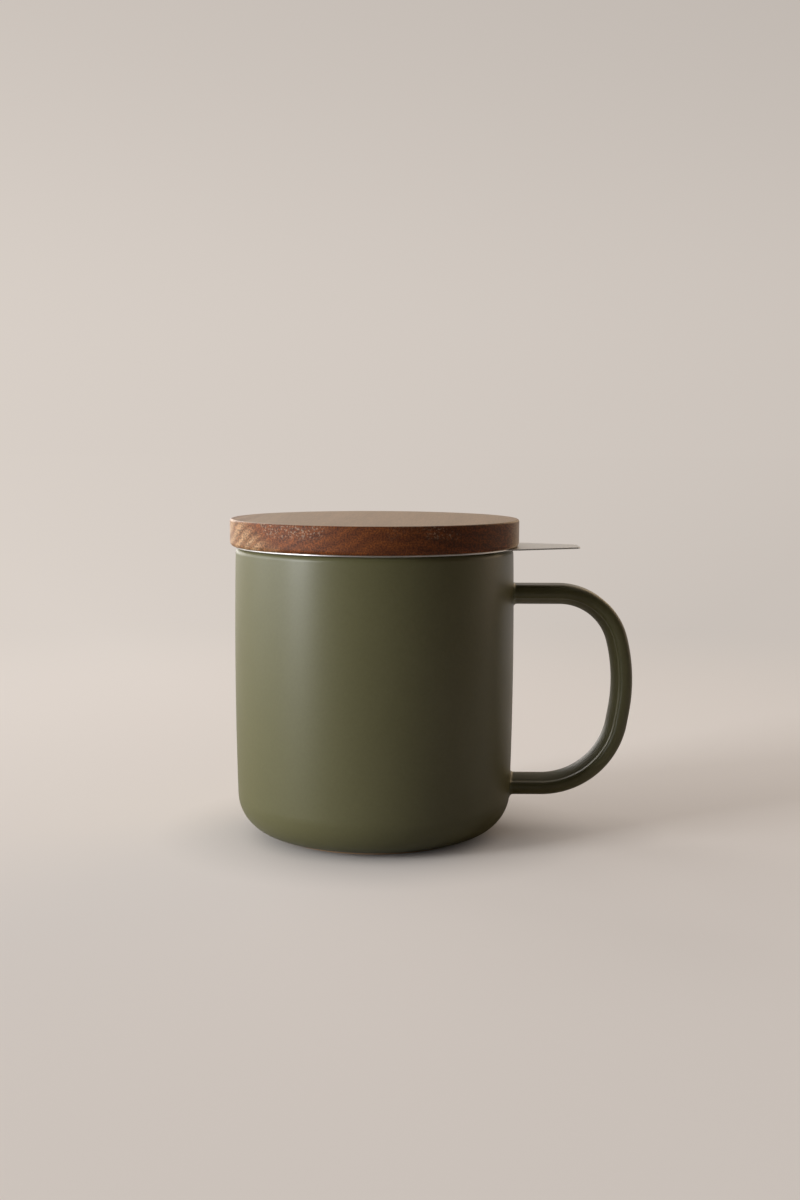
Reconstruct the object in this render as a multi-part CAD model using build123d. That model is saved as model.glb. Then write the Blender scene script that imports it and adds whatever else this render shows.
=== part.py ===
from build123d import *
import os
from math import floor, pi, radians, sin, sqrt, tan

# Stoneware tea mug with a steel drop-in infuser and a wooden plug lid.
# Millimetres. +Z is up and the origin lies on the mug's axis, in the plane that the
# foot stands on. +X points to the handle and to the infuser's lifting tab.

# ---- Driving dimensions ------------------------------------------------------

# Mug body: cast stoneware, nearly straight wall, large rounding at the bottom.
rim_height = 94.15        # crest of the rim above the table
rim_radius = 45.0         # outside of the wall at the rim
base_taper = 0.8          # wall carried down to the base plane, inside the rim's radius
belly_swell = 0.7         # how far the wall bows out halfway up
corner_radius = 12.5      # outside rounding between wall and base
wall = 4.0
floor_thickness = 5.0
inner_corner_radius = 9.0
rim_rounding = 1.4
foot_height = 1.0         # bare clay ring that lifts the glaze off the kiln shelf
foot_step = 0.3           # flat of the base left outside the foot ring
foot_ring_width = 4.0
foot_recess = 1.4         # hollow of the base inside the foot ring
foot_edge = 0.3

# Handle: a flat strap with round edges, bent to a D and luted to the wall.
strap_thickness = 6.2
strap_depth = 12.5
strap_rounding = 2.7
upper_arm_drop = 15.05    # rim crest down to the centre of the upper arm
lower_arm_height = 16.3   # table up to the centre of the lower arm
shoulder_reach = 30.3     # corner of the upper arm and the side, beyond the rim
side_reach = 37.2         # outermost corner of the side, beyond the rim
side_drop = 26.2          # that corner, below the upper arm
heel_reach = 30.9         # corner of the side and the lower arm, beyond the rim
shoulder_radius = 19.4
heel_radius = 25.1
root_flare = 0.9          # widening of the strap all round where it meets the wall
root_flare_length = 2.6
root_bite = 0.01          # strap pressed into the wall's soft surface when it is luted

# Infuser: drawn rim with flange, tab and collar; perforated sheet below it.
rim_sheet = 0.45
flange_overhang = 0.1     # flange beyond the outside of the mug's wall
infuser_gap = 4.5         # play between the mug's wall and the collar
collar_depth = 12.0
collar_bend = 1.2         # inside radius of the bend from flange to collar
tab_reach = 21.3          # tab beyond the mug's wall
tab_tip_width = 12.5
tab_flank_angle = 25.0    # each flank to the tab's centre-line
tab_tip_rounding = 2.0
tab_root_rounding = 6.0
basket_depth = 68.0       # rim crest down to the underside of the basket
basket_sheet = 0.4
weld_lap = 4.0            # perforated wall overlapping the collar's inside
hole_diameter = 3.0
hole_pitch = 7.2
hole_margin = 3.0         # plain strip beside the collar and the base ring
base_ring_height = 5.0
base_ring_lip = 4.0       # how far the ring turns in under the basket's floor
base_ring_bend = 1.0

# Lid: turned wooden disc with a plug and a silicone ring in the plug's groove.
lid_overhang = 1.8        # lid beyond the outside of the mug's wall
lid_thickness = 8.8
lid_top_edge = 0.7
lid_bottom_edge = 1.4
plug_depth = 8.0
plug_gap = 2.0            # play between plug and collar, bridged by the ring
plug_edge = 0.8
groove_depth = 1.5
groove_height = 4.2
groove_lift = 2.0         # wood below the groove
seal_height = 4.0
seal_play = 0.2           # ring to groove bottom, so that the lid turns in it
seal_gap = 0.2            # ring's ribs to the collar
seal_rib_radius = 0.9
seal_band_proud = 0.4     # band between the ribs, beyond the plug

# ---- Sizes worked out from them ----------------------------------------------

base_radius = rim_radius - base_taper
foot_radius = base_radius - corner_radius - foot_step
inside_floor = foot_height + floor_thickness
flange_top = rim_height + rim_sheet
flange_radius = rim_radius + flange_overhang
collar_outer = rim_radius - wall - infuser_gap
collar_inner = collar_outer - rim_sheet
collar_bottom = rim_height - collar_depth
basket_outer = collar_inner
basket_inner = basket_outer - basket_sheet
basket_bottom = rim_height - basket_depth
basket_floor = basket_bottom + rim_sheet
basket_wall_bottom = basket_floor + basket_sheet
base_ring_outer = basket_outer + rim_sheet
base_ring_top = basket_bottom + base_ring_height
lid_radius = rim_radius + lid_overhang
lid_top = flange_top + lid_thickness
plug_radius = collar_inner - plug_gap
plug_bottom = flange_top - plug_depth
groove_radius = plug_radius - groove_depth
groove_bottom = plug_bottom + groove_lift
seal_inner = groove_radius + seal_play
seal_outer = collar_inner - seal_gap


def revolved(face):
    """Turn a face drawn in the XZ plane once round the mug's axis."""
    return revolve(face, axis=Axis.Z, revolution_arc=360)


def rounded(face, corners, radius):
    """Round the corners of a face that lie at the given (x, z) places."""
    places = [Vector(x, 0, z) for x, z in corners]
    picked = [v for v in face.vertices() if any((v.center() - p).length < 1e-4 for p in places)]
    return fillet(picked, radius)


def polygon(points):
    """A flat face in the XZ plane through (x, z) points."""
    return make_face(Plane.XZ * Polyline(*points, close=True))


def wall_arc(inset):
    """Bowed line of the wall from base to rim, inset from the wall's outside."""
    middle = (rim_height + foot_height) / 2
    middle_radius = (rim_radius + base_radius) / 2 + belly_swell
    return ThreePointArc(
        (base_radius - inset, foot_height),
        (middle_radius - inset, middle),
        (rim_radius - inset, rim_height),
    )


def section_of(*lines):
    """The flat face in the XZ plane inside lines that meet end to end."""
    return make_face(Plane.XZ * Wire([edge for line in lines for edge in line.edges()]))


def mug_core():
    """Everything inside the face that the handle is seated on, filled."""
    face_arc = wall_arc(root_bite)
    base_line = Line((0, foot_height), face_arc @ 0)
    rim_line = Polyline(face_arc @ 1, (0, rim_height), (0, foot_height))
    return revolved(section_of(base_line, face_arc, rim_line))


def mug_profile():
    """Half section of the cup, from the axis out and up to the rim."""
    inner_rim = (rim_radius - wall, rim_height)
    inner_base = (base_radius - wall, inside_floor)
    foot_line = Polyline(
        (0, inside_floor),
        (0, foot_recess),
        (foot_radius - foot_ring_width, foot_recess),
        (foot_radius - foot_ring_width, 0),
        (foot_radius, 0),
        (foot_radius, foot_height),
        (base_radius, foot_height),
    )
    face = section_of(
        foot_line,
        wall_arc(0),
        Line((rim_radius, rim_height), inner_rim),
        ThreePointArc(inner_rim, wall_arc(wall) @ 0.5, inner_base),
        Line(inner_base, (0, inside_floor)),
    )
    face = rounded(face, [(base_radius, foot_height)], corner_radius)
    face = rounded(face, [inner_base], inner_corner_radius)
    face = rounded(face, [(rim_radius, rim_height), inner_rim], rim_rounding)
    foot_corners = [(foot_radius, 0), (foot_radius - foot_ring_width, 0)]
    return rounded(face, foot_corners, foot_edge)


def handle_path():
    """Centre-line of the strap, from inside the upper wall to inside the lower wall."""
    upper_arm = rim_height - upper_arm_drop
    root = rim_radius - wall / 2
    start = Vector(root, 0, upper_arm)
    shoulder = Vector(rim_radius + shoulder_reach, 0, upper_arm)
    side = Vector(rim_radius + side_reach, 0, upper_arm - side_drop)
    heel = Vector(rim_radius + heel_reach, 0, lower_arm_height)
    end = Vector(root, 0, lower_arm_height)

    def half_turn(before, corner, after):
        return radians((corner - before).get_angle(after - corner)) / 2

    shoulder_leg = shoulder_radius * tan(half_turn(start, shoulder, side))
    heel_leg = heel_radius * tan(half_turn(side, heel, end))
    side_leg = min((side - shoulder).length - shoulder_leg, (heel - side).length - heel_leg)
    side_radius = 0.99 * side_leg / tan(half_turn(shoulder, side, heel))
    radii = [shoulder_radius, side_radius, heel_radius]
    return FilletPolyline(start, shoulder, side, heel, end, radius=radii)


def arm_root(height):
    """Flared end of an arm: it widens towards the wall and runs on into it."""
    def section(reach, flare):
        plane = Plane(origin=(rim_radius + reach, 0, height), x_dir=(0, 1, 0), z_dir=(1, 0, 0))
        depth = strap_depth + 2 * flare
        thickness = strap_thickness + 2 * flare
        return plane * RectangleRounded(depth, thickness, strap_rounding + flare)

    seat = section(0, root_flare)
    waist = section(root_flare_length * 0.4, root_flare * 0.25)
    neck = section(root_flare_length, 0)
    return loft([seat, waist, neck]) + extrude(seat, amount=-wall / 2)


def make_handle():
    """The bent strap with its two flared roots, up to the outside of the wall."""
    path = handle_path()
    section_plane = Plane(origin=path @ 0, x_dir=(0, 1, 0), z_dir=path % 0)
    section = section_plane * RectangleRounded(strap_depth, strap_thickness, strap_rounding)
    strap = sweep(section, path=path)
    for height in (rim_height - upper_arm_drop, lower_arm_height):
        strap = strap + arm_root(height)
    return strap - mug_core()


def make_infuser_rim():
    """Flange with its tab, bent down into the plain collar."""
    bend_centre = collar_outer + collar_bend
    bend_height = rim_height - collar_bend
    outer_mid = collar_bend * sqrt(0.5)
    inner_mid = (collar_bend + rim_sheet) * sqrt(0.5)
    outer_bend = ThreePointArc(
        (bend_centre, rim_height),
        (bend_centre - outer_mid, bend_height + outer_mid),
        (collar_outer, bend_height),
    )
    straight = Polyline(
        (collar_outer, bend_height),
        (collar_outer, collar_bottom),
        (collar_inner, collar_bottom),
        (collar_inner, bend_height),
    )
    inner_bend = ThreePointArc(
        (collar_inner, bend_height),
        (bend_centre - inner_mid, bend_height + inner_mid),
        (bend_centre, flange_top),
    )
    flange_line = Line((bend_centre, flange_top), (bend_centre, rim_height))
    collar = revolved(section_of(outer_bend, straight, inner_bend, flange_line))

    tip = rim_radius + tab_reach
    run = tip - collar_outer
    half_tip = tab_tip_width / 2
    half_root = half_tip + run * tan(radians(tab_flank_angle))
    tab = make_face(
        Polyline(
            (collar_outer, -half_root),
            (tip, -half_tip),
            (tip, half_tip),
            (collar_outer, half_root),
            close=True,
        )
    )
    plan = Circle(flange_radius) + tab
    tips = [v for v in plan.vertices() if v.X > tip - 0.01]
    roots = [v for v in plan.vertices() if flange_radius / 2 < v.X < flange_radius and abs(v.Y) > half_tip]
    plan = fillet(tips, tab_tip_rounding)
    roots = [v for v in plan.vertices() if any((v.center() - r.center()).length < 1e-4 for r in roots)]
    plan = fillet(roots, tab_root_rounding)
    plan = plan - Circle(bend_centre)
    flange = extrude(Plane.XY.offset(rim_height) * plan, amount=rim_sheet)
    return flange + collar


def row_heights():
    """Heights of the wall's hole rows, spread evenly between the plain strips."""
    low = base_ring_top + hole_margin
    high = collar_bottom - hole_margin
    count = max(2, floor((high - low) / (hole_pitch * sin(radians(60)))) + 1)
    return [low + (high - low) * row / (count - 1) for row in range(count)]


def make_infuser_wall():
    """Perforated sheet rolled to a tube, every second row of holes set off by half a step."""
    wall_top = collar_bottom + weld_lap
    height = wall_top - basket_wall_bottom
    tube = Pos(0, 0, basket_wall_bottom) * (
        Cylinder(basket_outer, height, align=(Align.CENTER, Align.CENTER, Align.MIN))
        - Cylinder(basket_inner, height, align=(Align.CENTER, Align.CENTER, Align.MIN))
    )
    columns = round(2 * pi * basket_outer / hole_pitch)
    step = 360 / columns
    drill = Rot(0, 90, 0) * Cylinder(hole_diameter / 2, 5 * basket_sheet)
    sheet_middle = (basket_outer + basket_inner) / 2
    drills = [
        Pos(0, 0, row_height) * Rot(0, 0, step * (column + 0.5 * (row % 2))) * Pos(sheet_middle, 0, 0) * drill
        for row, row_height in enumerate(row_heights())
        for column in range(columns)
    ]
    return tube.cut(*drills)


def make_infuser_base():
    """Perforated disc: holes in rings, six more in each ring than in the one inside it."""
    disc = Cylinder(basket_outer, basket_sheet, align=(Align.CENTER, Align.CENTER, Align.MIN))
    free_radius = basket_inner - base_ring_lip - hole_diameter / 2
    rings = floor(free_radius / hole_pitch)
    hole = Cylinder(hole_diameter / 2, 3 * basket_sheet)
    holes = [hole]
    for ring in range(1, rings + 1):
        for spot in range(6 * ring):
            holes.append(Rot(0, 0, 60 * spot / ring) * Pos(ring * hole_pitch, 0, 0) * hole)
    return Pos(0, 0, basket_floor) * disc.cut(*holes)


def make_infuser_base_ring():
    """Plain band round the basket's foot, turned in under the perforated disc."""
    lip_edge = basket_inner - base_ring_lip
    face = polygon(
        [
            (lip_edge, basket_bottom),
            (base_ring_outer, basket_bottom),
            (base_ring_outer, base_ring_top),
            (basket_outer, base_ring_top),
            (basket_outer, basket_floor),
            (lip_edge, basket_floor),
        ]
    )
    return revolved(rounded(face, [(base_ring_outer, basket_bottom)], base_ring_bend))


def make_lid_board():
    """Disc and plug turned from one board, with a groove round the plug."""
    groove_top = groove_bottom + groove_height
    face = polygon(
        [
            (0, plug_bottom),
            (plug_radius, plug_bottom),
            (plug_radius, groove_bottom),
            (groove_radius, groove_bottom),
            (groove_radius, groove_top),
            (plug_radius, groove_top),
            (plug_radius, flange_top),
            (lid_radius, flange_top),
            (lid_radius, lid_top),
            (0, lid_top),
        ]
    )
    face = rounded(face, [(plug_radius, plug_bottom)], plug_edge)
    face = rounded(face, [(lid_radius, flange_top)], lid_bottom_edge)
    face = rounded(face, [(lid_radius, lid_top)], lid_top_edge)
    return revolved(face)


def make_lid_seal():
    """Silicone ring with two round ribs that wipe the collar."""
    seal_top = groove_bottom + seal_height
    band_outer = plug_radius + seal_band_proud
    band = polygon(
        [
            (seal_inner, groove_bottom),
            (band_outer, groove_bottom),
            (band_outer, seal_top),
            (seal_inner, seal_top),
        ]
    )
    rib_centre = seal_outer - seal_rib_radius
    rib_heights = (groove_bottom + seal_rib_radius, seal_top - seal_rib_radius)
    for rib_height in rib_heights:
        band = band + Plane.XZ * Pos(rib_centre, rib_height) * Circle(seal_rib_radius)
    return revolved(band)


parts = {
    "mug_body": revolved(mug_profile()),
    "mug_handle": make_handle(),
    "infuser_rim": make_infuser_rim(),
    "infuser_wall": make_infuser_wall(),
    "infuser_base": make_infuser_base(),
    "infuser_base_ring": make_infuser_base_ring(),
    "lid_board": make_lid_board(),
    "lid_seal": make_lid_seal(),
}

os.makedirs("parts", exist_ok=True)
for name, part in parts.items():
    export_step(part, f"parts/{name}.step")
    print(name, "solids", len(part.solids()), "volume", round(part.volume, 1))
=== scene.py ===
from math import atan2, cos, hypot, pi, radians, sin, sqrt, tan

import bmesh
import bpy
from bmesh.types import BMEdge, BMFace, BMVert
from mathutils import Matrix, Vector


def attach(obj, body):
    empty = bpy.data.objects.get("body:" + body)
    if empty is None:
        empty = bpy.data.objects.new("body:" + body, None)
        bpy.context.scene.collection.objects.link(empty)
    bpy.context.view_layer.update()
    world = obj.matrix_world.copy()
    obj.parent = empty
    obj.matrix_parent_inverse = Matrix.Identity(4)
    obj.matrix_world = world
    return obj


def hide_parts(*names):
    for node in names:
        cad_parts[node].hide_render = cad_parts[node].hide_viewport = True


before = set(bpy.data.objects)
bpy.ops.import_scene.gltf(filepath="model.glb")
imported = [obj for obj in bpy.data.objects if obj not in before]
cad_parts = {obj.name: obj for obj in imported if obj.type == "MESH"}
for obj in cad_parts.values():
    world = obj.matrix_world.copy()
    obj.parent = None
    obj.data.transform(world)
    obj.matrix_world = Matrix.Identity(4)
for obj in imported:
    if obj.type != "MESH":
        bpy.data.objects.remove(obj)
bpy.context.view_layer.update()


# ---- Mug body ----------------------------------------------------------------
# The cup of the mug: slip-cast stoneware with a nearly straight wall and a large
# rounding at the bottom. It is dipped in a matte olive glaze up to the foot ring,
# which is wiped clean so that it doesn't stick to the kiln shelf.

rim_height = 94.15
rim_radius = 45.0
base_radius = 44.2
belly_swell = 0.7
bow_from = 18
bow_to = 88
bow_step = 8
wall = 4.0
inside_floor = 6.0
foot_height = 1.0
foot_radius = 31.4
foot_ring_width = 4.0
foot_inside = foot_radius - foot_ring_width
foot_recess = 1.4
bottom_rounding = 12.5
inside_rounding = 9
lip_rounding = 1.9
foot_rounding = 0.3

# Sizes are in millimetres and angles in degrees, and Blender's are in metres and radians.
milli = 0.001
metre = 1000
merge_gap = 0.001
turn_steps = 256
sharp_turn = 40


def mm(*place):
    """A place in millimetres as Blender's metres."""
    return Vector(place) * milli


def wall_radius(height):
    """Outside radius of the bowed wall at a height."""
    middle = (rim_height + foot_height) / 2
    share = (height - foot_height) / (rim_height - foot_height)
    bow = 1 - ((height - middle) / (rim_height - middle)) ** 2
    return base_radius + (rim_radius - base_radius) * share + belly_swell * bow


def turn(outline, closed=True):
    """The shell that an outline of (radius, height) points makes when it turns about the axis."""
    mesh = bmesh.new()
    corners = [mesh.verts.new(mm(radius, 0, height)) for radius, height in outline]
    pairs = list(zip(corners, corners[1:]))
    if closed:
        pairs.append((corners[-1], corners[0]))
    lines = [mesh.edges.new(pair) for pair in pairs]
    bmesh.ops.spin(
        mesh, geom=corners + lines, cent=(0, 0, 0), axis=(0, 0, 1), dvec=(0, 0, 0),
        angle=2 * pi, steps=turn_steps, use_merge=True,
    )
    bmesh.ops.remove_doubles(mesh, verts=mesh.verts, dist=merge_gap * milli)
    bmesh.ops.recalc_face_normals(mesh, faces=mesh.faces)
    return mesh


def ring_at(mesh, radius, height):
    """The edges of a turned shell that lie at a radius and height."""
    def near(vert):
        reach = hypot(vert.co.x, vert.co.y)
        return hypot(reach - radius * milli, vert.co.z - height * milli) < 2 * merge_gap * milli
    return [edge for edge in mesh.edges if near(edge.verts[0]) and near(edge.verts[1])]


def round_ring(mesh, radius, height, rounding, segments):
    """Round a turned shell's corner at a radius and height."""
    bmesh.ops.bevel(
        mesh, geom=ring_at(mesh, radius, height), offset=rounding * milli, offset_type='OFFSET',
        segments=segments, profile=0.5, affect='EDGES', material=-1,
    )


def make_piece(mesh, name, material, body, node):
    """An object for a finished mesh, which stands for a node and rides on its body."""
    for face in mesh.faces:
        face.smooth = True
    for edge in mesh.edges:
        edge.smooth = edge.calc_face_angle(0) < radians(sharp_turn)
    data = bpy.data.meshes.new(name)
    mesh.to_mesh(data)
    mesh.free()
    data.materials.append(material)
    piece = bpy.data.objects.new(name, data)
    bpy.context.scene.collection.objects.link(piece)
    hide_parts(node)
    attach(piece, body)
    return piece


def even_shading(piece):
    """Flat faces keep their own shading up to the roundings beside them."""
    weighted = piece.modifiers.new("even_shading", 'WEIGHTED_NORMAL')
    weighted.keep_sharp = True
    weighted.weight = 100


def linear(code):
    """An sRGB hex colour as linear red, green, blue and alpha."""
    parts = [int(code[i:i + 2], 16) / 255 for i in (1, 3, 5)]
    light = [part / 12.92 if part <= 0.04045 else ((part + 0.055) / 1.055) ** 2.4 for part in parts]
    return light + [1.0]


def add_node(tree, kind, inputs, **settings):
    """Add a node. Each input, by its name or number, is a value or another node's output.

    By number, a colour mix takes its share at 0 and its two colours at 6 and 7, and a map
    range takes its value at 0, the ends that it reads at 1 and 2 and those it gives at 3 and 4.
    """
    node = tree.nodes.new(kind)
    for name, value in settings.items():
        setattr(node, name, value)
    for name, value in inputs.items():
        if isinstance(value, bpy.types.NodeSocket):
            tree.links.new(value, node.inputs[name])
        else:
            node.inputs[name].default_value = value
    return node


def new_material(name):
    """An empty material, its node tree and the piece's own coordinates in it."""
    material = bpy.data.materials.new(name)
    material.use_nodes = True
    tree = material.node_tree
    tree.nodes.clear()
    return material, tree, add_node(tree, 'ShaderNodeTexCoord', {}).outputs['Object']


# Matte stoneware glaze, dipped and fired: an even satin skin with faint cloudy changes
# of tone where the glaze lies thicker, fine darker grains and a very fine orange-peel.
thin_glaze = linear("#6b6848")
thick_glaze = linear("#625f3e")
cloud_width = 28
grain_width = 0.9
grain_strength = 0.06
peel_width = 1.6
peel_depth = 0.2

# Most of a noise pattern lies between these two values.
noise_low = 0.3
noise_high = 0.7
glaze, tree, place = new_material("dipped_matte_stoneware_glaze")
clouds = add_node(
    tree, 'ShaderNodeTexNoise', {'Vector': place, 'Scale': metre / cloud_width, 'Detail': 3.0}
)
tone = add_node(
    tree, 'ShaderNodeMix', {0: clouds.outputs['Fac'], 6: thin_glaze, 7: thick_glaze}, data_type='RGBA'
)
grains = add_node(
    tree, 'ShaderNodeTexNoise', {'Vector': place, 'Scale': metre / grain_width, 'Detail': 2.0}
)
grain_share = add_node(
    tree, 'ShaderNodeMapRange', {0: grains.outputs['Fac'], 1: noise_low, 2: noise_high, 3: 0.0, 4: 1.0}
)
speckled = add_node(
    tree, 'ShaderNodeMix', {0: grain_strength, 6: tone.outputs[2], 7: grain_share.outputs[0]},
    data_type='RGBA', blend_type='MULTIPLY',
)
peel = add_node(
    tree, 'ShaderNodeTexNoise', {'Vector': place, 'Scale': metre / peel_width, 'Detail': 2.0}
)
skin = add_node(
    tree, 'ShaderNodeBump',
    {'Strength': 0.06, 'Distance': peel_depth * milli, 'Height': peel.outputs['Fac']},
)
gloss = add_node(
    tree, 'ShaderNodeMapRange', {0: clouds.outputs['Fac'], 1: noise_low, 2: noise_high, 3: 0.36, 4: 0.42}
)
glaze_shader = add_node(
    tree, 'ShaderNodeBsdfPrincipled',
    {
        'Base Color': speckled.outputs[2], 'Roughness': gloss.outputs[0], 'IOR': 1.47,
        'Normal': skin.outputs[0],
    },
)

# The bare clay of the foot ring: fired stoneware, buff and dry, with fine sand in it. The
# glaze ends on it in a slightly wavering line.
dark_clay = linear("#b08a68")
pale_clay = linear("#caa986")
sand_width = 0.5
sand_depth = 0.2
waver_width = 7
waver_depth = 0.4
glaze_ends = 0.9
glaze_covers = 1.05
sand = add_node(
    tree, 'ShaderNodeTexNoise', {'Vector': place, 'Scale': metre / sand_width, 'Detail': 3.0}
)
clay_tone = add_node(
    tree, 'ShaderNodeMix', {0: sand.outputs['Fac'], 6: dark_clay, 7: pale_clay}, data_type='RGBA'
)
grit = add_node(
    tree, 'ShaderNodeBump',
    {'Strength': 0.3, 'Distance': sand_depth * milli, 'Height': sand.outputs['Fac']},
)
clay_shader = add_node(
    tree, 'ShaderNodeBsdfPrincipled',
    {'Base Color': clay_tone.outputs[2], 'Roughness': 0.9, 'Normal': grit.outputs[0]},
)
cup_spot = add_node(tree, 'ShaderNodeSeparateXYZ', {'Vector': place})
waver = add_node(
    tree, 'ShaderNodeTexNoise', {'Vector': place, 'Scale': metre / waver_width, 'Detail': 1.0}
)
wavering = add_node(
    tree, 'ShaderNodeMath', {0: waver.outputs['Fac'], 1: waver_depth * milli, 2: cup_spot.outputs['Z']},
    operation='MULTIPLY_ADD',
)
glaze_line = add_node(
    tree, 'ShaderNodeMapRange',
    {0: wavering.outputs[0], 1: glaze_ends * milli, 2: glaze_covers * milli, 3: 0.0, 4: 1.0},
    interpolation_type='SMOOTHSTEP',
)
dipped = add_node(
    tree, 'ShaderNodeMixShader',
    {0: glaze_line.outputs[0], 1: clay_shader.outputs[0], 2: glaze_shader.outputs[0]},
)
add_node(tree, 'ShaderNodeOutputMaterial', {'Surface': dipped.outputs[0]})

wall_heights = [*range(bow_from, bow_to, bow_step), bow_to]
cup = turn(
    [(0, inside_floor), (0, foot_recess), (foot_inside, foot_recess), (foot_inside, 0)]
    + [(foot_radius, 0), (foot_radius, foot_height), (base_radius, foot_height)]
    + [(wall_radius(height), height) for height in wall_heights]
    + [(rim_radius, rim_height), (rim_radius - wall, rim_height)]
    + [(wall_radius(height) - wall, height) for height in reversed(wall_heights)]
    + [(base_radius - wall, inside_floor)]
)
round_ring(cup, base_radius, foot_height, bottom_rounding, 20)
round_ring(cup, base_radius - wall, inside_floor, inside_rounding, 16)
round_ring(cup, rim_radius, rim_height, lip_rounding, 10)
round_ring(cup, rim_radius - wall, rim_height, lip_rounding, 10)
round_ring(cup, foot_radius, 0, foot_rounding, 4)
round_ring(cup, foot_inside, 0, foot_rounding, 4)
even_shading(make_piece(cup, "cup", glaze, "mug", "mug_body"))


# ---- Handle ------------------------------------------------------------------
# A strap of the same stoneware, pressed in a mould and bent to a tall D. It is flat
# outside and crowned inside, where a fine edge stands beside the crown. Its ends are luted
# to the wall with slip, which leaves a small hollow fillet.

strap_thickness = 6.2
strap_depth = 12.5
strap_rounding = 2.7
crown_base = 1.7
crown_height = 2.1
crown_power = 1.6
ridge_rounding = 1.5
upper_arm = 79.1
lower_arm = 16.3
neck_length = 4
root_fillet = 1.1
root_depth = 0.6
bend_steps = 28
fillet_step = 15

# Each bend's corner, as a distance from the axis and a height, and its radius.
strap_corners = [((75.3, upper_arm), 19.4), ((82.2, 52.9), 55.5), ((75.9, lower_arm), 25.1)]


def only(kind, made):
    """The vertices, the edges or the faces among what an operator made."""
    return [part for part in made if isinstance(part, kind)]


def extrude_end(mesh, end, shift):
    """Carry the strap on from its end face, and give the new end face."""
    made = bmesh.ops.extrude_face_region(mesh, geom=[end])['geom']
    bmesh.ops.translate(mesh, verts=only(BMVert, made), vec=shift)
    return only(BMFace, made)[0]


def bend_strap(mesh, end, place, corner, beyond, radius):
    """Carry the strap on to a corner and round it, and give its new end face and place."""
    towards = (corner - place).normalized()
    away = (beyond - corner).normalized()
    bend = towards.angle(away)
    leg = radius * tan(bend / 2)
    start = corner - towards * leg
    end = extrude_end(mesh, end, (start - place) * milli)
    centre = start + Vector((towards.z, 0, -towards.x)) * radius
    made = bmesh.ops.spin(
        mesh, geom=[end], cent=centre * milli, axis=(0, 1, 0), dvec=(0, 0, 0), angle=bend, steps=bend_steps
    )['geom_last']
    return only(BMFace, made)[0], corner + away * leg


def seat_end(end, arm, wider, before, clear):
    """Spread the end face from one flare to another and lay it along the round wall."""
    for vert in end.verts:
        vert.co.y *= (strap_depth / 2 + wider) / (strap_depth / 2 + before)
        rise = (vert.co.z - arm * milli) * (strap_thickness / 2 + wider) / (strap_thickness / 2 + before)
        vert.co.z = arm * milli + rise
        vert.co.x = sqrt((wall_radius(vert.co.z * metre) * milli) ** 2 - vert.co.y ** 2) + clear * milli


def flare_to_wall(mesh, end, arm):
    """Widen the strap's end in a hollow fillet down to the wall, and on into it."""
    before = 0
    for slope in range(0, 91, fillet_step):
        wider = root_fillet * (1 - cos(radians(slope)))
        if slope:
            end = extrude_end(mesh, end, (0, 0, 0))
        seat_end(end, arm, wider, before, root_fillet * (1 - sin(radians(slope))))
        before = wider
    end = extrude_end(mesh, end, (0, 0, 0))
    seat_end(end, arm, before, before, -root_depth)


# The strap's section, with its crown, then its run round the bends and its two flared ends.
strap = bmesh.new()
section = bmesh.ops.create_grid(strap, x_segments=1, y_segments=1, size=0.5)['verts']
bmesh.ops.scale(strap, vec=mm(strap_thickness - crown_base, strap_depth, 0), verts=section)
outer_corners = [vert for vert in section if vert.co.x < 0]
inner_corners = [vert for vert in section if vert.co.x > 0]
bmesh.ops.translate(strap, vec=mm(-crown_base / 2, 0, 0), verts=section)
roundings = (outer_corners, strap_rounding, 10), (inner_corners, ridge_rounding, 6)
for corners, rounding, segments in roundings:
    bmesh.ops.bevel(
        strap, geom=corners, offset=rounding * milli, offset_type='OFFSET',
        segments=segments, profile=0.5, affect='VERTICES', material=-1,
    )
inner_edge = max(strap.edges, key=lambda edge: edge.verts[0].co.x + edge.verts[1].co.x)
half_crown = abs(inner_edge.verts[0].co.y)
crown = bmesh.ops.bisect_edges(strap, edges=[inner_edge], cuts=31)['geom_split']
for vert in only(BMVert, crown):
    vert.co.x += crown_height * milli * (1 - abs(vert.co.y / half_crown) ** crown_power)
neck = Vector((rim_radius + neck_length, 0, upper_arm))
bmesh.ops.rotate(strap, verts=strap.verts, cent=(0, 0, 0), matrix=Matrix.Rotation(radians(90), 3, 'Y'))
bmesh.ops.translate(strap, verts=strap.verts, vec=neck * milli)
strap.faces.ensure_lookup_table()
end = strap.faces[0]
reached = neck
stops = [Vector((x, 0, z)) for (x, z), _ in strap_corners] + [Vector((neck.x, 0, lower_arm))]
for (corner, beyond), (_, radius) in zip(zip(stops, stops[1:]), strap_corners):
    end, reached = bend_strap(strap, end, reached, corner, beyond, radius)
end = extrude_end(strap, end, (stops[-1] - reached) * milli)
flare_to_wall(strap, end, lower_arm)
first_end = min(strap.faces, key=lambda face: (face.calc_center_median() - neck * milli).length)
flare_to_wall(strap, first_end, upper_arm)

# Each extrusion leaves its old end face inside the strap.
left_inside = [face for face in strap.faces if all(len(edge.link_faces) > 2 for edge in face.edges)]
bmesh.ops.delete(strap, geom=left_inside, context='FACES_ONLY')
bmesh.ops.recalc_face_normals(strap, faces=strap.faces)
even_shading(make_piece(strap, "handle", glaze, "mug", "mug_handle"))


# ---- Infuser rim -------------------------------------------------------------
# One piece of 0.45 mm stainless sheet: a flat flange that hangs on the mug's rim, with a
# tab to lift it by over the handle, drawn down into the collar that takes the lid's plug.

flange_radius = 45.1
collar_radius = 36.5
collar_bottom = 82.15
collar_bend = 1.2
rim_sheet = 0.45
rim_deburring = 0.15
tab_tip = 66.3
tab_half_width = 6.25
tab_flank = 25
tab_tip_rounding = 2.0
tab_root_rounding = 6.0
tab_steps = 6
sheet_corner = 50

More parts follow.
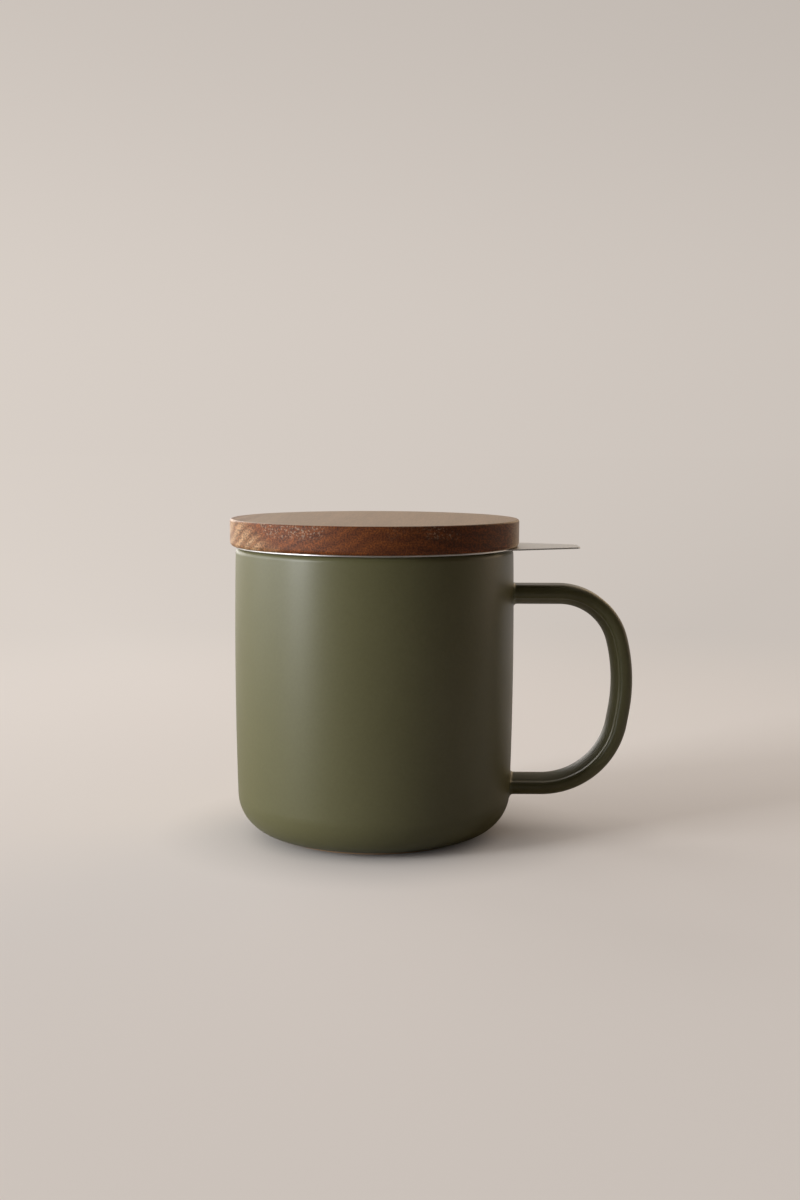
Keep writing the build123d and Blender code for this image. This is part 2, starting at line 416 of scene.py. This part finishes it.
# Stainless sheet, drawn and finely brushed: grey with a soft, streaky shine. The brush
# marks are drawn wider than real ones so that they show.
dark_steel = linear("#bcbbb8")
pale_steel = linear("#dad9d6")
streak_length = 14
streak_width = 0.35
streak_depth = 0.1
steel, tree, place = new_material("brushed_stainless_sheet")
drawn_out = add_node(
    tree, 'ShaderNodeMapping',
    {'Vector': place, 'Scale': (metre / streak_length, metre / streak_width, metre / streak_width)},
)
streaks = add_node(
    tree, 'ShaderNodeTexNoise', {'Vector': drawn_out.outputs[0], 'Scale': 1.0, 'Detail': 3.0}
)
steel_tone = add_node(
    tree, 'ShaderNodeMix', {0: streaks.outputs['Fac'], 6: dark_steel, 7: pale_steel}, data_type='RGBA'
)
steel_gloss = add_node(
    tree, 'ShaderNodeMapRange', {0: streaks.outputs['Fac'], 1: noise_low, 2: noise_high, 3: 0.3, 4: 0.42}
)
brushing = add_node(
    tree, 'ShaderNodeBump',
    {'Strength': 0.12, 'Distance': streak_depth * milli, 'Height': streaks.outputs['Fac']},
)
steel_shader = add_node(
    tree, 'ShaderNodeBsdfPrincipled',
    {
        'Base Color': steel_tone.outputs[2], 'Metallic': 1.0, 'Roughness': steel_gloss.outputs[0],
        'Normal': brushing.outputs[0],
    },
)
add_node(tree, 'ShaderNodeOutputMaterial', {'Surface': steel_shader.outputs[0]})


def thicken(piece, thickness, deburring=0):
    """Give a drawn sheet its thickness behind the face that is modelled, and deburr its edges."""
    sheet = piece.modifiers.new("sheet", 'SOLIDIFY')
    sheet.thickness = thickness * milli
    sheet.offset = -1
    sheet.use_even_offset = True
    if deburring:
        deburred = piece.modifiers.new("deburred", 'BEVEL')
        deburred.width = deburring * milli
        deburred.segments = 2
        deburred.limit_method = 'ANGLE'
        deburred.angle_limit = radians(sheet_corner)
        even_shading(piece)


def tab_outline():
    """The tab's root on the flange's edge, and points from there to the middle of its tip."""
    flank = radians(tab_flank)
    outward = Vector((sin(flank), cos(flank)))
    along = Vector((cos(flank), -sin(flank)))
    reach = outward.dot(Vector((tab_tip, tab_half_width)))
    root_reach = reach + tab_root_rounding
    root_along = sqrt((flange_radius + tab_root_rounding) ** 2 - root_reach ** 2)
    root = outward * root_reach + along * root_along
    first = atan2(-root.y, -root.x)
    last = atan2(-outward.y, -outward.x)
    hollow = [first + (last - first) * step / tab_steps for step in range(1, tab_steps + 1)]
    tip_x = tab_tip - tab_tip_rounding
    tip = Vector((tip_x, (reach - tab_tip_rounding - outward.x * tip_x) / outward.y))
    sweep = pi / 2 - flank
    round_end = [sweep - sweep * step / tab_steps for step in range(tab_steps + 1)]
    points = [root + Vector((cos(angle), sin(angle))) * tab_root_rounding for angle in hollow]
    points += [tip + Vector((cos(angle), sin(angle))) * tab_tip_rounding for angle in round_end]
    return root * flange_radius / root.length, points


# The underside of the flange and the outside of the collar, and the tab row by row.
rim = turn(
    [(flange_radius, rim_height), (collar_radius, rim_height), (collar_radius, collar_bottom)],
    closed=False,
)
round_ring(rim, collar_radius, rim_height, collar_bend, 8)
root, flank_points = tab_outline()
edge_row = [
    edge for edge in ring_at(rim, flange_radius, rim_height)
    if all(vert.co.x > 0 and abs(vert.co.y) < (root.y + merge_gap) * milli for vert in edge.verts)
]
spread = sorted({vert for edge in edge_row for vert in edge.verts}, key=lambda vert: vert.co.y)
half_width = spread[-1].co.y
shares = [vert.co.y / half_width for vert in spread]
bulge = [vert.co.x - spread[-1].co.x for vert in spread]
for point in flank_points:
    made = bmesh.ops.extrude_edge_only(rim, edges=edge_row)['geom']
    edge_row = only(BMEdge, made)
    row = sorted(only(BMVert, made), key=lambda vert: vert.co.y)
    to_go = (tab_tip - point.x) / (tab_tip - root.x)
    for vert, share, swell in zip(row, shares, bulge):
        vert.co.x = point.x * milli + swell * to_go
        vert.co.y = point.y * milli * share
bmesh.ops.recalc_face_normals(rim, faces=rim.faces)
if max(rim.faces, key=lambda face: face.calc_center_median().x).normal.z > 0:
    bmesh.ops.reverse_faces(rim, faces=rim.faces)
rim_piece = make_piece(rim, "flange_and_collar", steel, "infuser", "infuser_rim")
thicken(rim_piece, rim_sheet, rim_deburring)


# ---- Infuser wall ------------------------------------------------------------
# Perforated stainless sheet, rolled to a tube and spot-welded inside the collar. Plain
# strips are left at its top and bottom edge for the welds. Real holes are finer, and are
# drawn at a 2 mm pitch so that they show.

basket_radius = 36.05
basket_sheet = 0.4
basket_top = 86.15
basket_wall_bottom = 27.0
holes_from = 34.0
holes_to = 79.3
hole_width = 1.1
columns = 113
spare_rows = 3
hole_pitch = 2 * pi * basket_radius / columns
row_step = hole_pitch * sqrt(3) / 2
cell_gap = 0.01
cut_gap = 0.0001


def lay_cells(mesh, along, rows):
    """A flat field of six-sided cells in the XY plane, every second row set off by half a cell."""
    bmesh.ops.create_circle(mesh, cap_ends=True, segments=6, radius=hole_pitch / sqrt(3) * milli)
    row = list(mesh.faces)
    for count in range(1, along):
        made = bmesh.ops.duplicate(mesh, geom=row)['geom']
        bmesh.ops.translate(mesh, verts=only(BMVert, made), vec=mm(hole_pitch * count, 0, 0))
    whole_row = list(mesh.faces)
    for count in range(1, rows):
        made = bmesh.ops.duplicate(mesh, geom=whole_row)['geom']
        set_off = mm(hole_pitch / 2 * (count % 2), row_step * count, 0)
        bmesh.ops.translate(mesh, verts=only(BMVert, made), vec=set_off)
    bmesh.ops.remove_doubles(mesh, verts=mesh.verts, dist=cell_gap * milli)


def punch(mesh, cells):
    """A hole in the middle of each of these cells."""
    bmesh.ops.inset_individual(
        mesh, faces=cells, thickness=(hole_pitch - hole_width) / 2 * milli, use_even_offset=True
    )
    bmesh.ops.delete(mesh, geom=cells, context='FACES')


# The sheet is laid flat with rows to spare, punched, rolled, and cut off at both edges.
tube = bmesh.new()
rows = int((basket_top - basket_wall_bottom) / row_step) + spare_rows
lay_cells(tube, columns, rows)
bmesh.ops.translate(tube, verts=tube.verts, vec=mm(0, basket_wall_bottom - row_step, 0))
punch(tube, [face for face in tube.faces if holes_from < face.calc_center_median().y * metre < holes_to])
for vert in tube.verts:
    around = vert.co.x * metre / basket_radius
    vert.co = mm(basket_radius * cos(around), basket_radius * sin(around), vert.co.y * metre)
bmesh.ops.remove_doubles(tube, verts=tube.verts, dist=cell_gap * milli)
for level, side in ((basket_top, 1), (basket_wall_bottom, -1)):
    bmesh.ops.bisect_plane(
        tube, geom=list(tube.verts) + list(tube.edges) + list(tube.faces), plane_co=mm(0, 0, level),
        plane_no=(0, 0, side), clear_outer=True, dist=cut_gap * milli,
    )
bmesh.ops.recalc_face_normals(tube, faces=tube.faces)
tube_piece = make_piece(tube, "perforated_wall", steel, "infuser", "infuser_wall")
thicken(tube_piece, basket_sheet)


# ---- Infuser base ------------------------------------------------------------
# A disc cut from the same perforated sheet, with a plain strip left round its edge. It is
# laid in the foot band and welded to the wall.

disc_top = basket_wall_bottom
disc_radius = 36.0
disc_trim = 0.9
holed_radius = 30.2
past_holes = 2
spare_cells = 4

disc = bmesh.new()
disc_rows = int(2 * disc_radius / row_step) + spare_cells
disc_columns = int(2 * disc_radius / hole_pitch) + spare_cells
lay_cells(disc, disc_columns, disc_rows)
middle = mm(hole_pitch * (disc_columns // 2), row_step * 2 * (disc_rows // 4), 0)
bmesh.ops.translate(disc, verts=disc.verts, vec=mm(0, 0, disc_top) - middle)
cut_off = (disc_radius - disc_trim) * milli
outside = [face for face in disc.faces if face.calc_center_median().xy.length > cut_off]
bmesh.ops.delete(disc, geom=outside, context='FACES')
punch(disc, [face for face in disc.faces if face.calc_center_median().xy.length < holed_radius * milli])

# The outer cells leave a ragged edge, which is drawn out to a round one.
for vert in disc.verts:
    if vert.is_boundary and vert.co.xy.length > (holed_radius + past_holes) * milli:
        vert.co.xy = vert.co.xy.normalized() * disc_radius * milli
bmesh.ops.recalc_face_normals(disc, faces=disc.faces)
if next(iter(disc.faces)).normal.z < 0:
    bmesh.ops.reverse_faces(disc, faces=disc.faces)
disc_piece = make_piece(disc, "perforated_base", steel, "infuser", "infuser_base")
thicken(disc_piece, basket_sheet)


# ---- Infuser foot band -------------------------------------------------------
# A plain band pressed from the same sheet as the rim. It closes the tube's lower edge and
# turns in under the perforated disc.

band_radius = collar_radius
band_bottom = 26.15
band_top = 31.15
band_lip = 31.65
band_bend = 1.0
band_deburring = 0.1

band = turn([(band_radius, band_top), (band_radius, band_bottom), (band_lip, band_bottom)], closed=False)
round_ring(band, band_radius, band_bottom, band_bend, 6)
band_piece = make_piece(band, "foot_band", steel, "infuser", "infuser_base_ring")
thicken(band_piece, rim_sheet, band_deburring)


# ---- Lid ---------------------------------------------------------------------
# A disc and its plug turned from one board of dark, oiled hardwood, fibres running from
# front to back, so that the rim shows end grain at the front and long grain at the sides.
# A strip of pale sapwood is left at one side.

lid_radius = 46.8
lid_top = 103.4
lid_bottom = 94.6
plug_radius = 34.05
plug_bottom = 86.6
groove_radius = 32.55
groove_bottom = 88.6
groove_top = 92.8
plug_rounding = 0.8
under_rounding = 1.4
upper_rounding = 0.7

# Oiled acacia, turned and sanded: its faces are a smooth, greyish tan with a low sheen, and
# their pale, greyish tone is partly painted sheen. The end grain drinks more oil, so it is darker,
# redder and duller, and towards the handle it is darker still, which is painted shade.
# Its pores are drawn wider than real ones, so that they show as specks. Some paler flecks lie in
# patches on the end grain near its upper edge, and the sapwood lies in a leaning wedge.
# The face tones are the face grain's colour made paler and greyer by painted sheen.
face_pale_with_painted_sheen = linear("#b39474")
face_dark_with_painted_sheen = linear("#977b5d")
heart_pale = linear("#84461a")
heart_dark = linear("#6e3814")
sap_pale = linear("#ab845f")
sap_dark = linear("#875c39")
pale_fleck = linear("#b39a80")
fibre_lean = (2, 0, 3)
fibre_stretch = (1.0, 0.06, 1.0)
pore_stretch = (1.0, 0.05, 1.0)
warp_width = 16
warp_reach = 10
ring_spacing = 3.6
end_grain_from = 0.15
end_grain_full = 0.5
mottle_width = 5
shade_from = -15
shade_to = 20
sap_lean = 1.36
sap_edge = 100.0
sap_fade = 10
sap_wander = 12
pore_width = 0.5
pore_dip = 0.2
patch_width = 14
patch_shift = -12
fleck_width = 0.65
flecks_from = 98.5
flecks_full = 100.5

# The growth rings have their middle below the board. A wave pattern of scale 1 has its
# crests one wave period apart.
heart_place = (20, 0, 40)
wave_period = 0.314
wood, tree, place = new_material("oiled_acacia_turned_and_sanded")
tilted = add_node(
    tree, 'ShaderNodeMapping',
    {
        'Vector': place, 'Location': -mm(*heart_place),
        'Rotation': tuple(radians(lean) for lean in fibre_lean),
    },
)
fibres = add_node(tree, 'ShaderNodeMapping', {'Vector': tilted.outputs[0], 'Scale': fibre_stretch})
warp = add_node(
    tree, 'ShaderNodeTexNoise', {'Vector': fibres.outputs[0], 'Scale': metre / warp_width, 'Detail': 2.0}
)
bent = add_node(
    tree, 'ShaderNodeVectorMath',
    {0: warp.outputs['Color'], 1: mm(warp_reach, 0, warp_reach), 2: tilted.outputs[0]},
    operation='MULTIPLY_ADD',
)
rings = add_node(
    tree, 'ShaderNodeTexWave',
    {'Vector': bent.outputs[0], 'Scale': wave_period * metre / ring_spacing, 'Distortion': 0.0},
    wave_type='RINGS', rings_direction='Y',
)
spot = add_node(tree, 'ShaderNodeSeparateXYZ', {'Vector': place})
facing = add_node(tree, 'ShaderNodeTexCoord', {}).outputs['Normal']
facing_parts = add_node(tree, 'ShaderNodeSeparateXYZ', {'Vector': facing})
along_fibres = add_node(tree, 'ShaderNodeMath', {0: facing_parts.outputs['Y']}, operation='ABSOLUTE')
end_grain = add_node(
    tree, 'ShaderNodeMapRange',
    {0: along_fibres.outputs[0], 1: end_grain_from, 2: end_grain_full, 3: 0.0, 4: 1.0},
    interpolation_type='SMOOTHSTEP',
)
mottle = add_node(
    tree, 'ShaderNodeTexNoise', {'Vector': fibres.outputs[0], 'Scale': metre / mottle_width, 'Detail': 4.0}
)
face_tone_and_painted_sheen = add_node(
    tree, 'ShaderNodeMix', {0: mottle.outputs['Fac'], 6: face_pale_with_painted_sheen, 7: face_dark_with_painted_sheen}, data_type='RGBA'
)
heart = add_node(
    tree, 'ShaderNodeMix', {0: rings.outputs['Fac'], 6: heart_pale, 7: heart_dark}, data_type='RGBA'
)
# Painted shade: the end grain is darkened towards the handle, the side away from the lamps.
painted_shade_towards_handle = add_node(
    tree, 'ShaderNodeMapRange',
    {0: spot.outputs['X'], 1: shade_from * milli, 2: shade_to * milli, 3: 1.0, 4: 0.75},
)
end_tone_and_painted_shade = add_node(
    tree, 'ShaderNodeMix', {0: 1.0, 6: heart.outputs[2], 7: painted_shade_towards_handle.outputs[0]},
    data_type='RGBA', blend_type='MULTIPLY',
)
grain_tone = add_node(
    tree, 'ShaderNodeMix', {0: end_grain.outputs[0], 6: face_tone_and_painted_sheen.outputs[2], 7: end_tone_and_painted_shade.outputs[2]},
    data_type='RGBA',
)
sap_tone = add_node(
    tree, 'ShaderNodeMix', {0: rings.outputs['Fac'], 6: sap_pale, 7: sap_dark}, data_type='RGBA'
)
leaning = add_node(
    tree, 'ShaderNodeMath', {0: spot.outputs['Z'], 1: sap_lean, 2: spot.outputs['X']},
    operation='MULTIPLY_ADD',
)
wandering = add_node(
    tree, 'ShaderNodeMath', {0: warp.outputs['Fac'], 1: sap_wander * milli, 2: leaning.outputs[0]},
    operation='MULTIPLY_ADD',
)
sapwood = add_node(
    tree, 'ShaderNodeMapRange',
    {0: wandering.outputs[0], 1: sap_edge * milli, 2: (sap_edge + sap_fade) * milli, 3: 1.0, 4: 0.0},
    interpolation_type='SMOOTHSTEP',
)
board_tone = add_node(
    tree, 'ShaderNodeMix', {0: sapwood.outputs[0], 6: grain_tone.outputs[2], 7: sap_tone.outputs[2]},
    data_type='RGBA',
)
pore_place = add_node(tree, 'ShaderNodeMapping', {'Vector': tilted.outputs[0], 'Scale': pore_stretch})
pores = add_node(
    tree, 'ShaderNodeTexNoise', {'Vector': pore_place.outputs[0], 'Scale': metre / pore_width, 'Detail': 2.0}
)
pore_share = add_node(
    tree, 'ShaderNodeMapRange', {0: pores.outputs['Fac'], 1: 0.40, 2: 0.62, 3: 0.4, 4: 1.4}
)
pore_depth = add_node(
    tree, 'ShaderNodeMapRange', {0: end_grain.outputs[0], 1: 0.0, 2: 1.0, 3: 0.15, 4: 0.8}
)
pored = add_node(
    tree, 'ShaderNodeMix', {0: pore_depth.outputs[0], 6: board_tone.outputs[2], 7: pore_share.outputs[0]},
    data_type='RGBA', blend_type='MULTIPLY',
)
patch_place = add_node(tree, 'ShaderNodeMapping', {'Vector': place, 'Location': mm(patch_shift, 0, 0)})
patches = add_node(
    tree, 'ShaderNodeTexNoise',
    {'Vector': patch_place.outputs[0], 'Scale': metre / patch_width, 'Detail': 0.0},
)
patch = add_node(
    tree, 'ShaderNodeMapRange', {0: patches.outputs['Fac'], 1: 0.5, 2: 0.6, 3: 0.0, 4: 1.0}
)
flecks = add_node(
    tree, 'ShaderNodeTexNoise', {'Vector': place, 'Scale': metre / fleck_width, 'Detail': 1.0}
)
fleck = add_node(
    tree, 'ShaderNodeMapRange', {0: flecks.outputs['Fac'], 1: 0.55, 2: 0.65, 3: 0.0, 4: 0.5}
)
upper = add_node(
    tree, 'ShaderNodeMapRange',
    {0: spot.outputs['Z'], 1: flecks_from * milli, 2: flecks_full * milli, 3: 0.0, 4: 1.0},
)
fleck_patch = add_node(
    tree, 'ShaderNodeMath', {0: patch.outputs[0], 1: fleck.outputs[0]}, operation='MULTIPLY'
)
fleck_end = add_node(
    tree, 'ShaderNodeMath', {0: fleck_patch.outputs[0], 1: end_grain.outputs[0]}, operation='MULTIPLY'
)
fleck_share = add_node(
    tree, 'ShaderNodeMath', {0: fleck_end.outputs[0], 1: upper.outputs[0]}, operation='MULTIPLY'
)
board_colour = add_node(
    tree, 'ShaderNodeMix', {0: fleck_share.outputs[0], 6: pored.outputs[2], 7: pale_fleck}, data_type='RGBA'
)
wood_gloss = add_node(
    tree, 'ShaderNodeMapRange', {0: end_grain.outputs[0], 1: 0.0, 2: 1.0, 3: 0.42, 4: 0.62}
)
pore_bump = add_node(
    tree, 'ShaderNodeMapRange', {0: end_grain.outputs[0], 1: 0.0, 2: 1.0, 3: 0.03, 4: 0.2}
)
open_pores = add_node(
    tree, 'ShaderNodeBump',
    {'Strength': pore_bump.outputs[0], 'Distance': pore_dip * milli, 'Height': pores.outputs['Fac']},
)
wood_shader = add_node(
    tree, 'ShaderNodeBsdfPrincipled',
    {
        'Base Color': board_colour.outputs[2], 'Roughness': wood_gloss.outputs[0], 'IOR': 1.4,
        'Normal': open_pores.outputs[0],
    },
)
add_node(tree, 'ShaderNodeOutputMaterial', {'Surface': wood_shader.outputs[0]})

board = turn(
    [(0, plug_bottom), (plug_radius, plug_bottom), (plug_radius, groove_bottom)]
    + [(groove_radius, groove_bottom), (groove_radius, groove_top), (plug_radius, groove_top)]
    + [(plug_radius, lid_bottom), (lid_radius, lid_bottom), (lid_radius, lid_top), (0, lid_top)],
    closed=False,
)
round_ring(board, plug_radius, plug_bottom, plug_rounding, 6)
round_ring(board, lid_radius, lid_bottom, under_rounding, 8)
round_ring(board, lid_radius, lid_top, upper_rounding, 6)
even_shading(make_piece(board, "wooden_lid", wood, "lid", "lid_board"))


# ---- Lid ring ----------------------------------------------------------------
# A moulded silicone ring in the plug's groove. Its two round ribs press on the collar and
# hold the lid.

ring_inside = 32.75
ring_outside = 35.85
ring_waist = 34.45
ring_bottom = groove_bottom
ring_top = 92.6
rib_height = 1.8
rib_rounding = 0.85

# Milky silicone, moulded: soft and slightly dusty to the eye, with a dull shine. Hardly any
# light comes through it at this thickness.
dusty_silicone = linear("#dcd9d0")
clean_silicone = linear("#ece9e2")
dust_width = 3
silicone, tree, place = new_material("moulded_milky_silicone")
dust = add_node(
    tree, 'ShaderNodeTexNoise', {'Vector': place, 'Scale': metre / dust_width, 'Detail': 4.0}
)
milky = add_node(
    tree, 'ShaderNodeMix', {0: dust.outputs['Fac'], 6: dusty_silicone, 7: clean_silicone}, data_type='RGBA'
)
dull = add_node(
    tree, 'ShaderNodeMapRange', {0: dust.outputs['Fac'], 1: noise_low, 2: noise_high, 3: 0.4, 4: 0.55}
)
silicone_shader = add_node(
    tree, 'ShaderNodeBsdfPrincipled',
    {'Base Color': milky.outputs[2], 'Roughness': dull.outputs[0], 'IOR': 1.41},
)
add_node(tree, 'ShaderNodeOutputMaterial', {'Surface': silicone_shader.outputs[0]})

seal = turn(
    [(ring_inside, ring_bottom), (ring_outside, ring_bottom), (ring_outside, ring_bottom + rib_height)]
    + [(ring_waist, ring_bottom + rib_height), (ring_waist, ring_top - rib_height)]
    + [(ring_outside, ring_top - rib_height), (ring_outside, ring_top), (ring_inside, ring_top)]
)
for level in (ring_bottom, ring_bottom + rib_height, ring_top - rib_height, ring_top):
    round_ring(seal, ring_outside, level, rib_rounding, 6)
even_shading(make_piece(seal, "silicone_ring", silicone, "seal", "lid_seal"))


# ---- Studio ------------------------------------------------------------------
# A plain sweep of matte paper, which fades from the lit floor under the mug into an even
# backdrop. A tall window lamp stands low at the left, with softer ones beside it and behind
# it, two warm dim ones behind at the right and a large dim one overhead.

floor_radius = 8000
fade_from = 120
fade_to = 600
lee_width = 30
backdrop_colour = linear("#d3cac2")
paper_colour = linear("#c2bcb7")
glow_colour = linear("#978f89")
room_colour = linear("#fff1e2")


def sight_of_backdrop(tree, direction):
    """How bright the backdrop is in a direction, and how much of it a ray sees there.

    It is a little brighter at the left and darker towards the top, which is painted light
    falling off from the lamps at the left. The camera sees all of it, and metal reflects the part
    behind the mug.
    """
    aim = add_node(tree, 'ShaderNodeSeparateXYZ', {'Vector': direction})
    across = add_node(
        tree, 'ShaderNodeMapRange', {0: aim.outputs['X'], 1: -0.35, 2: 0.35, 3: 1.08, 4: 0.9}
    )
    upwards = add_node(
        tree, 'ShaderNodeMapRange', {0: aim.outputs['Z'], 1: 0.05, 2: 0.3, 3: 1.0, 4: 0.87},
        interpolation_type='SMOOTHSTEP',
    )
    bright = add_node(
        tree, 'ShaderNodeMath', {0: across.outputs[0], 1: upwards.outputs[0]}, operation='MULTIPLY'
    )
    rays = add_node(tree, 'ShaderNodeLightPath', {})
    shiny = add_node(
        tree, 'ShaderNodeMath',
        {0: rays.outputs['Is Glossy Ray'], 1: rays.outputs['Is Transmission Ray']}, operation='ADD',
    )
    behind = add_node(
        tree, 'ShaderNodeMapRange', {0: aim.outputs['Y'], 1: -0.3, 2: 0.5, 3: 0.0, 4: 1.0},
        interpolation_type='SMOOTHSTEP',
    )
    sight = add_node(
        tree, 'ShaderNodeMath',
        {0: shiny.outputs[0], 1: behind.outputs[0], 2: rays.outputs['Is Camera Ray']},
        operation='MULTIPLY_ADD', use_clamp=True,
    )
    return bright.outputs[0], sight.outputs[0]


# Matte paper. A faint glow that only the camera sees makes it paler and lights nothing. The
# glow fades close to the mug, by how enclosed each spot is, which paints a darker contact shade
# under it on top of its real shadow.
floor_paper, tree, place = new_material("pale_matte_floor_paper")
matte = add_node(tree, 'ShaderNodeBsdfDiffuse', {'Color': paper_colour, 'Roughness': 0.5})
camera_ray = add_node(tree, 'ShaderNodeLightPath', {}).outputs['Is Camera Ray']
open_air = add_node(tree, 'ShaderNodeAmbientOcclusion', {'Distance': lee_width * milli}, samples=8)
# The glow times the open air: painted contact shade near the mug.
glow = add_node(tree, 'ShaderNodeMath', {0: camera_ray, 1: open_air.outputs['AO']}, operation='MULTIPLY')
pale = add_node(tree, 'ShaderNodeEmission', {'Color': glow_colour, 'Strength': glow.outputs[0]})
paper = add_node(tree, 'ShaderNodeAddShader', {0: matte.outputs[0], 1: pale.outputs[0]})
outward = add_node(tree, 'ShaderNodeVectorMath', {0: place}, operation='NORMALIZE')
bright, sight = sight_of_backdrop(tree, outward.outputs[0])
far_glow = add_node(tree, 'ShaderNodeEmission', {'Color': backdrop_colour, 'Strength': bright})
away = add_node(tree, 'ShaderNodeVectorMath', {0: place}, operation='LENGTH')
fade = add_node(
    tree, 'ShaderNodeMapRange',
    {0: away.outputs['Value'], 1: fade_from * milli, 2: fade_to * milli, 3: 0.0, 4: 1.0},
    interpolation_type='SMOOTHSTEP',
)
far_sight = add_node(tree, 'ShaderNodeMath', {0: fade.outputs[0], 1: sight}, operation='MULTIPLY')
floor_mix = add_node(
    tree, 'ShaderNodeMixShader', {0: far_sight.outputs[0], 1: paper.outputs[0], 2: far_glow.outputs[0]}
)
add_node(tree, 'ShaderNodeOutputMaterial', {'Surface': floor_mix.outputs[0]})

floor = bmesh.new()
bmesh.ops.create_circle(floor, cap_ends=True, segments=96, radius=floor_radius * milli)
floor_data = bpy.data.meshes.new("floor")
floor.to_mesh(floor_data)
floor.free()
floor_data.materials.append(floor_paper)
floor_piece = bpy.data.objects.new("floor", floor_data)
bpy.context.scene.collection.objects.link(floor_piece)

world = bpy.data.worlds.new("studio")
bpy.context.scene.world = world
world.use_nodes = True
tree = world.node_tree
tree.nodes.clear()
direction = add_node(tree, 'ShaderNodeTexCoord', {}).outputs['Generated']
bright, sight = sight_of_backdrop(tree, direction)
shown = add_node(tree, 'ShaderNodeBackground', {'Color': backdrop_colour, 'Strength': bright})
room = add_node(tree, 'ShaderNodeBackground', {'Color': room_colour, 'Strength': 0.02})
sky = add_node(tree, 'ShaderNodeMixShader', {0: sight, 1: room.outputs[0], 2: shown.outputs[0]})
add_node(tree, 'ShaderNodeOutputWorld', {'Surface': sky.outputs[0]})

aim_height = 50
lamp_distance = 1100


def add_lamp(name, azimuth, elevation, size, power, colour):
    """A soft lamp that faces the mug, with its size in metres and its power in watts.

    Azimuth 0 is on the camera's side, and 90 at its left.
    """
    lamp = bpy.data.lights.new(name, 'AREA')
    lamp.shape = 'RECTANGLE'
    lamp.size, lamp.size_y = size
    lamp.energy = power
    lamp.color = linear(colour)[:3]
    holder = bpy.data.objects.new(name, lamp)
    turned = Matrix.Rotation(radians(-azimuth), 4, 'Z') @ Matrix.Rotation(radians(90 - elevation), 4, 'X')
    aim = Matrix.Translation(mm(0, 0, aim_height))
    holder.matrix_world = aim @ turned @ Matrix.Translation(mm(0, 0, lamp_distance))
    holder.visible_camera = False
    bpy.context.scene.collection.objects.link(holder)


add_lamp("window", 60.5, 12, (0.36, 0.5), 8.8, "#f9fcff")
add_lamp("side_veil", 93, 16, (0.8, 0.7), 7.0, "#f9fcff")
add_lamp("back_left", 145, 24, (0.8, 0.9), 7.0, "#fffcf9")
add_lamp("back_right", 220, 28, (0.7, 0.6), 2.5, "#ffdaa6")
add_lamp("low_right", 250, 12, (0.4, 0.5), 0.4, "#ffd0a0")
add_lamp("overhead", 0, 88, (1.2, 1.2), 0.9, "#fff4e6")

# The camera stands half a metre in front of the mug, a little above it, and looks slightly
# down. Its dip and its roll are in radians.
camera_place = mm(8.28, -521.8, 131.67)
camera_dip = 0.105
camera_roll = 0.0042
camera = bpy.data.cameras.new("camera")
camera.sensor_width = 36
camera.lens = 48.22
camera_holder = bpy.data.objects.new("camera", camera)
look = Matrix.Rotation(radians(90) - camera_dip, 4, 'X') @ Matrix.Rotation(camera_roll, 4, 'Z')
camera_holder.matrix_world = Matrix.Translation(camera_place) @ look
bpy.context.scene.collection.objects.link(camera_holder)
bpy.context.scene.camera = camera_holder
bpy.context.scene.view_settings.view_transform = 'Standard'
